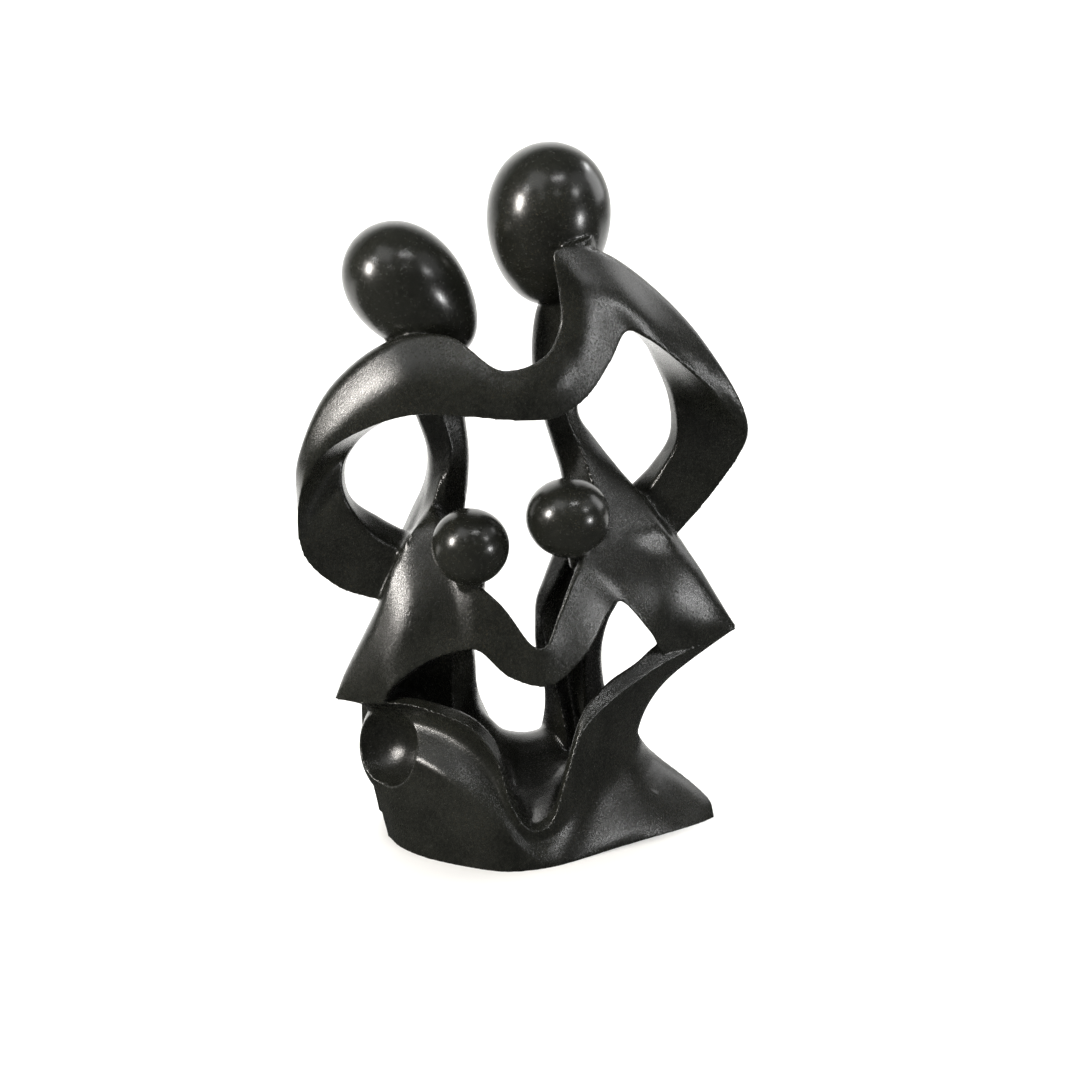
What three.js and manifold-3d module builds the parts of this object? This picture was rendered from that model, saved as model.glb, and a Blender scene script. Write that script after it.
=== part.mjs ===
import * as THREE from 'three';
import * as BufferGeometryUtils from 'three/addons/utils/BufferGeometryUtils.js';
import Module from 'manifold-3d';

// A family group carved from one block of soapstone: two adults whose linked arms form one band,
// and two children before them with linked arms, all rising from one flared base.
// Millimetres, +Z up, +X to the viewer's right, the front faces -Y.
// The origin is under the middle of the group, on the surface it stands on.

const wasm = await Module();
wasm.setup();

// Colour and finish of the waxed stone.
const STONE_COLOUR = 0x23241f;
const STONE_ROUGHNESS = 0.38;

// Heads: length along the egg, widest radius, how much the chin end narrows,
// the middle of the egg, and the direction from its chin to its crown.
const HEADS = {
  father: {
    length: 102.6, radius: 39.2, taper: 0.11, middle: [15.7, 8, 407.2], crown: [0.06, 0, 1], sides: 21,
  },
  mother: {
    length: 99.8, radius: 35.2, taper: 0.16, middle: [-71, 8, 365.8], crown: [-0.95, 0, 1], sides: 21,
  },
  boy: { length: 49, radius: 24.8, taper: 0.03, middle: [-42.5, -36, 210], crown: [0.2, 0, 1], sides: 18 },
  girl: { length: 51, radius: 27, taper: 0.03, middle: [20.5, -36, 226], crown: [-0.1, 0, 1], sides: 18 },
};

// Necks: short round stubs between a head and its shoulders.
const NECK_SIDES = 14;
const NECKS = {
  father: { from: [28, -14, 378], to: [24, -18, 402], radius: 15 },
  mother: { from: [-70, 2, 322], to: [-71, 3, 345], radius: 14 },
  boy: { from: [-40, -20, 176], to: [-40.5, -30, 194], radius: 9 },
  girl: { from: [33, -19, 190], to: [28, -28, 212], radius: 8 },
};

// The flank behind the left skirt and the bowl in it.
const FLANK = { radii: [27, 30, 37], middle: [-84, 15, 60] };
const BOWL = { radius: 27, middle: [-100.5, -11, 68.5] };

// How far the front face of the father's hip swells, and how far the inner faces of the adults'
// arms are hollowed.
const HIP_SWELL = 3;
const ARM_HOLLOW = 1.5;

// Sections per station of a limb, and the passes that fit its rounds to the rails.
const STEPS = 2;
const ROUND_PASSES = 3;

function vector([x, y, z]) {
  return new THREE.Vector3(x, y, z);
}

// A rail is one long edge of a limb. Its round is the share of the section's sides that the
// corner there takes up, 0 for a crisp edge, and arc is the number of facets in that round.
function rail(points, round, arc) {
  return { points: points.map(vector), round, arc };
}

// The same rail moved by a vector that changes from point to point.
function beside(source, shifts, round, arc) {
  const points = source.points.map((point, i) => point.clone().add(vector(shifts[i])));
  return { points, round, arc };
}

// A rail between two others, pushed back by a depth that may change from point to point.
function between(first, second, share, depths, round, arc) {
  const points = first.points.map((point, i) => {
    const depth = Array.isArray(depths) ? depths[i] : depths;
    return point.clone().lerp(second.points[i], share).add(new THREE.Vector3(0, depth, 0));
  });
  return { points, round, arc };
}

function roundAt(round, share) {
  if (!Array.isArray(round)) return [round, round];
  if (round.length === 2) return round;
  const place = share * (round.length - 1);
  const index = Math.min(Math.floor(place), round.length - 2);
  const here = THREE.MathUtils.lerp(round[index], round[index + 1], place - index);
  return [here, here];
}

// The control corners whose rounds pass through the rails' own points.
function corners(points, rounds) {
  let controls = points;
  for (let pass = 0; pass < ROUND_PASSES; pass += 1) {
    controls = points.map((point, i) => {
      const [before, after] = rounds[i];
      return point.clone()
        .addScaledVector(controls.at(i - 1), -before / 4)
        .addScaledVector(controls[(i + 1) % points.length], -after / 4)
        .divideScalar(1 - (before + after) / 4);
    });
  }
  return controls;
}

// The section where the rails pass: a closed outline that rounds each corner by a short curve.
function section(points, rounds, arcs) {
  const controls = corners(points, rounds);
  const outline = [];
  controls.forEach((corner, i) => {
    if (arcs[i] === 0) {
      outline.push(points[i]);
      return;
    }
    const [before, after] = rounds[i];
    const start = corner.clone().lerp(controls.at(i - 1), before);
    const end = corner.clone().lerp(controls[(i + 1) % points.length], after);
    const round = new THREE.QuadraticBezierCurve3(start, corner, end);
    outline.push(...round.getPoints(arcs[i]));
  });
  return outline;
}

function solidFrom(positions, indices) {
  let volume = 0;
  const point = (i) => new THREE.Vector3().fromArray(positions, 3 * indices[i]);
  for (let i = 0; i < indices.length; i += 3) {
    volume += point(i).dot(point(i + 1).cross(point(i + 2)));
  }
  if (volume < 0) indices.reverse();
  const mesh = new wasm.Mesh({
    numProp: 3,
    vertProperties: new Float32Array(positions),
    triVerts: new Uint32Array(indices),
  });
  return new wasm.Manifold(mesh);
}

function distance(positions, a, b) {
  const first = new THREE.Vector3().fromArray(positions, 3 * a);
  return first.distanceTo(new THREE.Vector3().fromArray(positions, 3 * b));
}

// Closes an end ring by a strip that is zipped between its two sides, so that a hollowed end
// stays hollow.
function closeEnd(positions, indices, start, ringSize, facesBack) {
  let low = ringSize;
  let high = 1;
  while (low - high > 1) {
    const a = start + (low % ringSize);
    const b = start + high;
    const upward = distance(positions, a, b + 1) < distance(positions, b, start + low - 1);
    const c = upward ? b + 1 : start + low - 1;
    if (upward) high += 1;
    else low -= 1;
    if (facesBack) indices.push(a, c, b);
    else indices.push(a, b, c);
  }
}

// A limb: rings of points joined into a skin and closed at both ends.
function limb(rails) {
  const rows = (rails[0].points.length - 1) * STEPS;
  const curves = rails.map(({ points }) => new THREE.CatmullRomCurve3(points, false, 'centripetal'));
  const arcs = rails.map(({ arc }) => arc);
  const positions = [];
  let ringSize = 0;
  for (let row = 0; row <= rows; row += 1) {
    const share = row / rows;
    const points = curves.map((curve) => curve.getPoint(share));
    const rounds = rails.map(({ round }) => roundAt(round, share));
    const outline = section(points, rounds, arcs);
    ringSize = outline.length;
    outline.forEach(({ x, y, z }) => positions.push(x, y, z));
  }
  const indices = [];
  for (let i = 0; i < ringSize; i += 1) {
    const next = (i + 1) % ringSize;
    let lean = 0;
    for (let start = 0; start < rows * ringSize; start += ringSize) {
      lean += distance(positions, start + i, start + next + ringSize);
      lean -= distance(positions, start + next, start + i + ringSize);
    }
    for (let start = 0; start < rows * ringSize; start += ringSize) {
      const a = start + i;
      const b = start + next;
      if (lean < 0) indices.push(a, b, b + ringSize, a, b + ringSize, a + ringSize);
      else indices.push(a, b, a + ringSize, b, b + ringSize, a + ringSize);
    }
  }
  closeEnd(positions, indices, 0, ringSize, true);
  closeEnd(positions, indices, rows * ringSize, ringSize, false);
  return solidFrom(positions, indices);
}

function solidOf(geometry) {
  geometry.deleteAttribute('normal');
  geometry.deleteAttribute('uv');
  const merged = BufferGeometryUtils.mergeVertices(geometry);
  return solidFrom(Array.from(merged.attributes.position.array), Array.from(merged.index.array));
}

// Turns a shape from its own +Y axis to a direction and sets it at a place.
function aim(geometry, direction, place) {
  const turn = new THREE.Quaternion();
  turn.setFromUnitVectors(new THREE.Vector3(0, 1, 0), vector(direction).normalize());
  geometry.applyQuaternion(turn);
  geometry.translate(...place);
  return solidOf(geometry);
}

function egg({ length, radius, taper, middle, crown, sides }) {
  const rings = (sides * 2) / 3;
  const profile = [];
  for (let i = 0; i <= rings; i += 1) {
    const angle = (Math.PI * i) / rings;
    const height = -Math.cos(angle);
    const girth = i % rings === 0 ? 0 : radius * Math.sin(angle) * (1 + taper * height);
    profile.push(new THREE.Vector2(girth, (height * length) / 2));
  }
  return aim(new THREE.LatheGeometry(profile, sides), crown, middle);
}

function neck({ from, to, radius }) {
  const axis = vector(to).sub(vector(from));
  const middle = vector(from).lerp(vector(to), 0.5).toArray();
  const stub = new THREE.CylinderGeometry(radius, radius, axis.length(), NECK_SIDES);
  return aim(stub, axis.toArray(), middle);
}

// The adults' arms are one limb, from the mother's hand on the boy's back, round her elbow and
// shoulder, along the linked band and round the father's shoulder and elbow to his hand.
function adultArms() {
  const crease = rail([
    [-80, 4, 161], [-122, 8, 174], [-145, 4, 198], [-148, -1, 232], [-134, -16, 267], [-107, -30, 287],
    [-77, -41, 297], [-47, -47, 296], [-16, -50, 293], [11, -50, 294], [31, -46, 306], [47, -40, 327],
    [58, -34, 344], [71, -31, 339], [87, -27, 328], [122, -14, 297], [146, 0, 263], [131, 6, 233],
    [102, 4, 200], [84, 2, 184]], 0, 0);
  const outer = rail([
    [-77, 32, 157], [-119, 34, 179], [-141, 28, 208], [-147, 14, 243], [-146, 2, 266], [-127, -4, 308],
    [-89, -20, 340.5], [-54, -31, 344], [-23, -45, 324], [4, -48, 333], [14, -43, 353], [13, -41, 374],
    [11, -38, 396], [36, -27, 396], [72, -9, 375], [113, -6, 333], [146, 2, 273], [137, 28, 238],
    [105, 36, 204], [88, 34, 186]],
  [0.45, 0.45, 0.45, 0.4, 0.4, 0.4, 0.3, 0.08, 0.05, 0.05, 0.05, 0.05, 0.05, 0.2, 0.4, 0.4, 0.4, 0.45, 0.45,
    0.45], 3);
  const inner = rail([
    [-70, 2, 192], [-101, 4, 210], [-118, 2, 236], [-119, 8, 254], [-109, 12, 269], [-91, 2, 285],
    [-69, -14, 298], [-43, -25, 300], [-12, -30, 296], [12, -30, 299], [30, -24, 310], [47, -15, 328],
    [66, -2, 340], [77, 5, 331], [87, 12, 318], [101, 15, 291], [104, 12, 263], [94, 12, 243],
    [82, 14, 222], [74, 14, 205]], 0.15, 2);
  const back = beside(inner, [
    [7, 24, 7], [8, 22, 6], [5, 20, -4], [3, 12, 0], [2, 10, 1], [1, 14, 3],
    [1, 22, 5], [3, 17, 7], [2, 13, 5], [0, 14, 5], [-2, 16, 6], [-2, 19, 6],
    [1, 18, 2], [1, 15, 2], [0, 12, 1], [-1, 12, -1], [-2, 16, 1], [-4, 20, -1], [-10, 16, 2],
    [-7, 16, 4]], 0.35, 2);
  const spine = between(outer, back, 0.52,
    [8, 10, 12, 16, 22, 24, 20, 8, 8, 8, 8, 14, 20, 22, 24, 24, 20, 12, 10, 10], 0.45, 2);
  const front = between(outer, crease, 0.5,
    [-3, -3, -3, -4, -5, -7, -8, -6, -4, -4, -4, -5, -6, -6, -6, -5, -4, -3, -3, -3], 0.45, 2);
  const hollow = between(crease, inner, 0.5, ARM_HOLLOW, 0.4, 2);
  return limb([crease, hollow, inner, back, spine, outer, front]);
}

// The mother's body, from her neck down her back to the base.
function motherBody() {
  const ridge = rail([[-78, -16, 336], [-66, -8, 315], [-57, 6, 300], [-54, 10, 287], [-47, 12, 261],
    [-52, 12, 238], [-53, 10, 215], [-50, 4, 185], [-49, 2, 157], [-49, 4, 125], [-49, 6, 93],
    [-46, 4, 60], [-42, 0, 20]], 0, 0);
  const left = rail([[-90, -10, 338], [-84, 6, 316], [-73, 22, 295], [-68, 26, 283], [-60, 28, 258],
    [-61, 28, 235], [-70, 30, 212], [-82, 30, 182], [-87, 30, 151], [-94, 32, 120], [-94, 32, 96],
    [-94, 28, 60], [-92, 20, 10]], 0.25, 2);
  const right = rail([[-66, -18, 336], [-47, 5, 313], [-39, 18, 296], [-37, 22, 283], [-34, 24, 259],
    [-35, 24, 236], [-38, 24, 212], [-37, 20, 182], [-35, 18, 148], [-32, 20, 119], [-30, 24, 88],
    [-20, 28, 62], [-8, 30, 14]], 0.3, 2);
  const backRight = rail([[-68, 4, 337], [-54, 28, 316], [-42, 46, 294], [-39, 52, 281], [-36, 54, 257],
    [-37, 54, 234], [-40, 55, 208], [-41, 57, 180], [-40, 58, 143], [-36, 61, 110], [-32, 63, 80],
    [-22, 65, 50], [-14, 66, 4]], 0.42, 2);
  const backLeft = rail([[-88, 4, 338], [-80, 26, 319], [-66, 44, 297], [-62, 50, 283], [-56, 52, 258],
    [-58, 54, 235], [-68, 56, 210], [-80, 56, 180], [-89, 54, 144], [-98, 53, 113], [-101, 51, 82],
    [-99, 48, 50], [-88, 44, 4]], 0.42, 2);
  return limb([ridge, right, backRight, backLeft, left]);
}

// Her hip runs forward from the body into the left edge of the boy's cape.
function motherHip() {
  const ridge = rail([[-48, 20, 262], [-54, 14, 243], [-60, 10, 228], [-76, -2, 211], [-84, -4, 197],
    [-90, -3, 178], [-96, -1, 160]], 0, 0);
  const left = rail([[-57, 34, 252], [-62, 28, 232], [-66, 27, 219], [-73, 24, 205], [-82, 18, 190],
    [-90, 14, 172], [-94, 16, 156]], 0.25, 2);
  const right = rail([[-38, 30, 252], [-36, 24, 232], [-38, 20, 212], [-38, 12, 196], [-38, 4, 182],
    [-40, -2, 168], [-44, 0, 154]], 0.3, 2);
  const back = rail([[-48, 46, 250], [-50, 46, 230], [-54, 46, 212], [-60, 46, 196], [-68, 44, 182],
    [-74, 40, 168], [-76, 36, 152]], 0.42, 2);
  return limb([ridge, right, back, left]);
}

// The father's body, from his neck to the base. Down the front of the leg runs a groove.
function fatherBody() {
  const ridge = rail([[32, -24, 390], [31, -15, 368], [27, -5, 354], [23, 4, 317], [28, 8, 283],
    [35, 8, 265], [42, 8, 238], [36, 6, 205], [22, 4, 174], [14, 7, 156], [12, 8, 143], [15, 8, 122],
    [21, 8, 97], [27, 4, 70], [30, 0, 20]], 0, 0);
  const groove = rail([[34, -23, 390], [36, -13, 367], [33, -2, 353], [29, 8, 316], [32, 12, 283],
    [39, 12, 264], [48, 12, 236], [44, 10, 204], [32, 14, 172], [28, 20, 155], [28, 22, 140],
    [30, 22, 118], [32, 20, 93], [35, 14, 64], [36, 8, 18]], 0.3, 2);
  const front = rail([[36, -22, 390], [42, -10, 366], [38, 2, 352], [34, 10, 315], [35, 16, 283],
    [42, 14, 264], [54, 12, 235], [54, 8, 204], [44, 8, 171], [41, 10, 156], [42, 12, 141],
    [41, 12, 121], [41, 12, 93], [42, 10, 64], [44, 6, 18]], 0.2, 1);
  const right = rail([[46, -14, 390], [56, 0, 362], [53, 5, 345], [43, 14, 311], [38, 20, 283],
    [50, 20, 263], [66, 20, 236], [74, 18, 204], [68, 16, 168], [66, 20, 152], [60, 24, 137],
    [56, 26, 116], [58, 26, 87], [62, 24, 56], [70, 22, 10]], 0.3, 2);
  const backRight = rail([[46, 6, 388], [54, 26, 364], [52, 38, 346], [44, 50, 311], [40, 54, 283],
    [46, 54, 262], [58, 54, 234], [68, 52, 204], [69, 50, 168], [66, 51, 150], [61, 54, 133],
    [58, 56, 110], [60, 58, 80], [66, 61, 46], [76, 58, 4]], 0.42, 2);
  const backLeft = rail([[24, 6, 388], [22, 26, 366], [22, 40, 350], [20, 50, 316], [24, 53, 283],
    [30, 54, 262], [39, 54, 236], [40, 55, 205], [34, 56, 170], [30, 57, 152], [27, 58, 135],
    [26, 60, 112], [30, 62, 80], [26, 64, 46], [18, 66, 4]], 0.42, 2);
  const left = rail([[20, -12, 391], [14, 2, 366], [9, 14, 350], [8, 22, 316], [16, 24, 279],
    [21, 24, 262], [28, 24, 238], [29, 24, 208], [16, 22, 172], [10, 21, 156], [9, 20, 143],
    [10, 22, 120], [17, 26, 89], [16, 28, 60], [4, 32, 14]], 0.25, 2);
  return limb([ridge, groove, front, right, backRight, backLeft, left]);
}

// His hip runs forward and out from the body into the top edge of the girl's cape.
function fatherHip() {
  const ridge = rail([[33, 12, 274], [41, 0, 248], [46, -9, 228], [50, -18, 209], [54, -22, 190],
    [58, -23, 172]], 0, 0);
  const right = rail([[46, 26, 270], [63, 15, 247], [79, 6, 228], [94, -2, 206], [106, 3, 186],
    [114, 8, 170]], 0.3, 2);
  const back = rail([[40, 46, 268], [54, 46, 244], [68, 44, 224], [80, 36, 202], [90, 30, 184],
    [96, 24, 168]], 0.42, 2);
  const left = rail([[28, 32, 270], [32, 24, 246], [34, 14, 226], [36, 4, 207], [42, -6, 188],
    [48, -10, 168]], 0.25, 2);
  const front = between(ridge, right, 0.5, -HIP_SWELL, 0.45, 2);
  return limb([ridge, front, right, back, left]);
}

// The children's arms and capes are one limb from the left hem corner to the right one.
function childArms() {
  const lower = rail([[-126, 1, 100], [-99, -21, 104], [-95, -27, 114], [-73, -33, 133],
    [-49, -38, 142], [-39, -41, 142], [-21, -48, 126], [-1, -52, 119], [11, -51, 121], [33, -45, 140],
    [48, -36, 162], [55, -34, 168], [64, -33, 161], [78, -28, 143], [91, -15, 124], [115, -9, 128],
    [142, 0, 133]], 0, 0);
  const upper = rail([[-127, 4, 101], [-121, 2, 116], [-101, -2, 158], [-86, -3, 194],
    [-62, 3, 222], [-42, -28, 189], [-22, -41, 170], [-4, -50, 146], [3, -50, 145], [13, -44, 164],
    [24, -37, 187], [33, -30, 202], [54, -14, 211], [93, 2, 205], [113, 0, 182], [130, 0, 156],
    [143, 2, 136]],
  [0.1, 0.4, 0.4, 0.15, 0.4, 0.25, 0.08, 0.08, 0.08, 0.08, 0.15, 0.25, 0.4, 0.4, 0.4, 0.4, 0.1], 3);
  const upperBack = beside(upper, [
    [2, 8, -1], [9, 20, -4], [14, 34, -2], [18, 34, -8], [10, 28, -10], [4, 20, -12],
    [1, 20, -14], [4, 20, -14], [6, 20, -14], [7, 22, -10], [8, 26, -8], [14, 28, -8],
    [18, 32, -8], [8, 30, -8], [3, 25, -12], [2, 20, -7], [2, 10, -2]], 0.35, 2);
  const lowerBack = beside(lower, [
    [2, 10, -2], [8, 24, -6], [11, 40, -6], [9, 38, -5], [7, 32, 1], [5, 28, 1],
    [2, 22, 4], [4, 20, 2], [3, 20, 1], [1, 22, -1], [4, 26, -3], [7, 30, -4],
    [8, 36, -6], [10, 38, -5], [10, 34, 1], [10, 24, 0], [1, 10, -2]], 0.35, 2);
  const chest = between(lower, upper, 0.5,
    [0, -3, -5, -6, -5, -2, 0, 0, 0, 0, -1, -2, -3, -5, -6, -4, 0], 0.4, 2);
  return limb([lower, chest, upper, upperBack, lowerBack].reverse());
}

// The base: a crisp ridge runs from hem corner to hem corner and dips to the front of the valley
// between the skirts; below it the skirts hollow in to the waist, fold and flare out to the foot.
function base() {
  const ridge = rail([[-127, 4, 100], [-111, -12, 101], [-86, -30, 105], [-64, -42, 101],
    [-44, -51, 92], [-31, -58, 76], [-20, -63, 40], [-9, -65, 26], [3, -64, 27], [15, -59, 56],
    [28, -50, 87], [48, -40, 102], [69, -28, 111], [90, -18, 119], [116, -8, 126], [143, 0, 134]], 0, 0);
  const inside = rail([[-121, 16, 98], [-103, 6, 98], [-83, -19, 106], [-60, -31, 103],
    [-42, -40, 96], [-29, -46, 82], [-19, -53, 50], [-8, -57, 29], [6, -56, 34], [18, -49, 67],
    [30, -41, 96], [48, -30, 111], [70, -18, 120], [88, -9, 130], [116, 2, 133], [143, 8, 134]],
  0.1, 1);
  const valley = rail([[-104, 22, 84], [-92, 24, 80], [-77, 5, 80], [-53, -5, 76], [-34, -12, 62],
    [-20, -20, 50], [-12, -28, 36], [-1, -30, 33], [11, -28, 38], [22, -20, 48], [35, -5, 56],
    [53, 2, 68], [64, 8, 72], [72, 12, 72], [77, 16, 74], [79, 18, 75]], [0.5, 0.85], 3);
  const sill = rail([[-102, 30, 48], [-90, 38, 48], [-76, 46, 48], [-51, 48, 56], [-24, 34, 72],
    [-12, 32, 62], [-3, 32, 59], [6, 32, 58], [15, 32, 60], [23, 32, 64], [35, 34, 65], [52, 40, 49],
    [66, 40, 33], [74, 36, 33], [82, 30, 34], [86, 22, 36]], 0.42, 2);
  const heel = rail([[-90, 40, 0], [-76, 54, 0], [-58, 62, 0], [-40, 66, 0], [-25, 67, 0], [-12, 68, 0],
    [-2, 68, 0], [8, 68, 0], [18, 68, 0], [28, 67, 0], [42, 66, 0], [62, 62, 0], [85, 52, 0],
    [108, 38, 0], [125, 22, 0], [132, 10, 0]], 0, 0);
  const toe = rail([[-94, 4, 0], [-88, -16, 0], [-74, -36, 0], [-56, -51, 0], [-41, -61, 0],
    [-29, -67, 0], [-18, -69, 0], [-5, -68, 0], [8, -65, 0], [20, -60, 0], [40, -50, 0], [62, -39, 0],
    [86, -28, 0], [108, -18, 0], [122, -10, 0], [130, -4, 0]], 0, 0);
  const belly = rail([[-101, 3, 32], [-91, -18, 32], [-75, -35, 29], [-57, -49, 24], [-41, -58.5, 18],
    [-28, -66, 13], [-17, -68, 7], [-5, -68, 5], [8, -65, 5], [22, -58, 6], [42, -47, 9], [64, -35, 12],
    [86, -22, 14], [104, -10, 15], [116, -2, 17], [122, 4, 18]], [0.5, 0.4], 2);
  const waist = rail([[-101, 3, 90], [-92, -3, 93], [-79, -12, 92], [-61, -24, 88], [-45, -36, 80],
    [-31, -48, 64], [-22, -59, 38], [-9, -64, 20], [5, -62, 21], [20, -55, 37], [36, -42, 56],
    [53, -30, 71], [67, -19, 80], [80, -9, 87], [89, -1, 93], [93, 3, 97]], [0.8, 0.4], 4);
  const fold = rail([[-103, 2, 62], [-92, -14, 67], [-78, -29, 66], [-62, -43, 60], [-47, -53, 49],
    [-35, -59, 38], [-23, -65, 24], [-9, -66.5, 13], [6, -64, 13], [22, -56, 20], [39, -41, 31],
    [56, -28, 40], [70, -16, 47], [77, -5, 52], [80, 4, 55], [81, 12, 56]],
  [0.3, 0.12, 0.1, 0.1, 0.13, 0.3, 0.4, 0.4, 0.45, 0.45, 0.45, 0.45, 0.45, 0.45, 0.45, 0.45], 2);
  return limb([toe, heel, sill, valley, inside, ridge, waist, fold, belly]);
}

// The rounded flank behind the left skirt, and the shallow bowl carved into it.
function flank() {
  const { radii, middle } = FLANK;
  const lump = new THREE.SphereGeometry(1, 20, 12);
  lump.scale(...radii);
  lump.translate(...middle);
  return solidOf(lump);
}

function bowl() {
  const ball = new THREE.SphereGeometry(BOWL.radius, 24, 16);
  ball.translate(...BOWL.middle);
  return solidOf(ball);
}

// The stone is solid: pockets closed in where limbs meet are filled.
function withoutPockets(solid) {
  const shells = solid.decompose().filter((shell) => shell.volume() > 0);
  return wasm.Manifold.compose(shells);
}

function familyGroup() {
  let solid = base();
  const bodies = [motherBody(), motherHip(), fatherBody(), fatherHip()];
  const arms = [adultArms(), childArms()];
  const heads = Object.values(HEADS).map(egg);
  const necks = Object.values(NECKS).map(neck);
  [flank(), ...bodies, ...arms, ...heads, ...necks].forEach((piece) => {
    solid = solid.add(piece);
  });
  return withoutPockets(solid.subtract(bowl()));
}

function geometryOf(solid) {
  const { vertProperties, triVerts } = solid.getMesh();
  const geometry = new THREE.BufferGeometry();
  geometry.setAttribute('position', new THREE.BufferAttribute(vertProperties, 3));
  geometry.setIndex(new THREE.BufferAttribute(triVerts, 1));
  geometry.computeVertexNormals();
  return geometry;
}

const stone = new THREE.MeshStandardMaterial({
  color: STONE_COLOUR,
  roughness: STONE_ROUGHNESS,
  metalness: 0,
});
const sculpture = new THREE.Group();
const carving = new THREE.Mesh(geometryOf(familyGroup()), stone);
carving.name = 'carved_family';
sculpture.add(carving);

export default sculpture;
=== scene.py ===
import math

import bpy
import numpy as np
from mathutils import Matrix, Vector


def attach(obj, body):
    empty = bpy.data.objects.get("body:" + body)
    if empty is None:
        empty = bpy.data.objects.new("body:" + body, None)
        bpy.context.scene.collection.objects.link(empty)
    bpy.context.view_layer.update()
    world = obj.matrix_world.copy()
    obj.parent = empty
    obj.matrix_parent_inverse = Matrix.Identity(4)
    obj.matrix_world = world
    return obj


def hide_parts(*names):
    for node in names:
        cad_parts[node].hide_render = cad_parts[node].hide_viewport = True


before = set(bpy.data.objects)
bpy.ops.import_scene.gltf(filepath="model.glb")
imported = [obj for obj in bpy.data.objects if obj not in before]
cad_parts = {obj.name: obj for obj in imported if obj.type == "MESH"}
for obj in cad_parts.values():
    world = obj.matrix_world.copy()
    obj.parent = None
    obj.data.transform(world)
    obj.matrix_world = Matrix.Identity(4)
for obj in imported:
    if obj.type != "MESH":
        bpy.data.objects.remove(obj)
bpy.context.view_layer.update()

# The family group is one block of soapstone, so it is one piece here too. It is built from the same
# named rails as the CAD part, in millimetres, at a finer step: the limbs are lofted, joined by a
# voxel remesh, and eased so that edges and joins are rounded as a carver's abrasive leaves them.
MM = 0.001

# Sections per station of a limb, facets in a rounded corner, facets across a face between corners,
# and rounds that bring a rounded corner back out to its rail.
STEPS = 8
CORNER_FACETS = 6
FACE_FACETS = 5
ROUND_PASSES = 3

# How far the father's hip swells forward, and how far the front of the adults' arms is hollowed.
HIP_SWELL = 3
ARM_HOLLOW = 1.5

# Rings and sides of the round forms, before the remesh.
ROUND_MESH = (72, 96)
FLANK_MESH = (48, 64)
NECK_SIDES = 48

HEADS = {
    "father": {"length": 102.6, "radius": 39.2, "taper": 0.11,
               "middle": (15.7, 8, 407.2), "crown": (0.06, 0, 1)},
    "mother": {"length": 99.8, "radius": 35.2, "taper": 0.16,
               "middle": (-71, 8, 365.8), "crown": (-0.95, 0, 1)},
    "boy": {"length": 49, "radius": 24.8, "taper": 0.03,
            "middle": (-42.5, -36, 210), "crown": (0.2, 0, 1)},
    "girl": {"length": 51, "radius": 27, "taper": 0.03,
             "middle": (20.5, -36, 226), "crown": (-0.1, 0, 1)},
}
NECKS = {
    "father": {"start": (28, -14, 378), "end": (24, -18, 402), "radius": 15},
    "mother": {"start": (-70, 2, 322), "end": (-71, 3, 345), "radius": 14},
    "boy": {"start": (-40, -20, 176), "end": (-40.5, -30, 194), "radius": 9},
    "girl": {"start": (33, -19, 190), "end": (28, -28, 212), "radius": 8},
}
FLANK = {"radii": (27, 30, 37), "middle": (-84, 15, 60)}
BOWL = {"radius": 27, "middle": (-100.5, -11, 68.5)}

# Size of the remesh, and the most triangles that the finished stone has.
VOXEL = 1.0
TRIANGLES = 190000

# Easing takes off the remesh's steps: passes before and after the joins are softened, and the share
# that each pass smooths and then swells back.
EASING_BEFORE = 5
EASING_AFTER = 8
SMOOTH_SHARE = 0.5
SWELL_SHARE = -0.52

# Joins where one form of the stone runs into another in a soft hollow: middle, reach, passes.
SOFT_JOINS = [
    ((-66, 6, 218), 34, 60),
    ((-88, 20, 168), 26, 30),
    ((56, -10, 218), 40, 70),
    ((84, -2, 200), 34, 60),
    ((76, -10, 176), 30, 50),
    ((38, 14, 262), 26, 60),
    ((-98, 6, 44), 24, 60),
    ((-20, 30, 62), 34, 40),
    ((34, 20, 66), 34, 40),
    ((-86, 20, 76), 30, 30),
    ((74, 26, 62), 28, 30),
]
JOIN_SHARE = 0.6

# Where the surface turns outwards by this much, in 1/mm, its edge is crisp and isn't softened.
# The turn itself is averaged over a few passes.
CRISP_TURN = 0.12
TURN_PASSES = 3

# Points this low, in millimetres, are set flat on the table.
FOOT = 0.6

# How far out the heads' high polish reaches, as a share of their size, and the part where it fades.
POLISH_REACH = 1.06
POLISH_FADE = 0.03


def rail(points, share):
    """One long edge of a limb, with the share of each side that its rounded corner takes up."""
    return np.array(points, float), share


def beside(source, shifts, share):
    """A rail that keeps its distance from another, by a shift at each point."""
    return source[0] + np.array(shifts, float), share


def between(first, second, part, depths, share):
    """A rail part of the way from one rail to another, pushed back by a depth at each point."""
    points = first[0] + (second[0] - first[0]) * part
    points[:, 1] += depths
    return points, share


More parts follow.
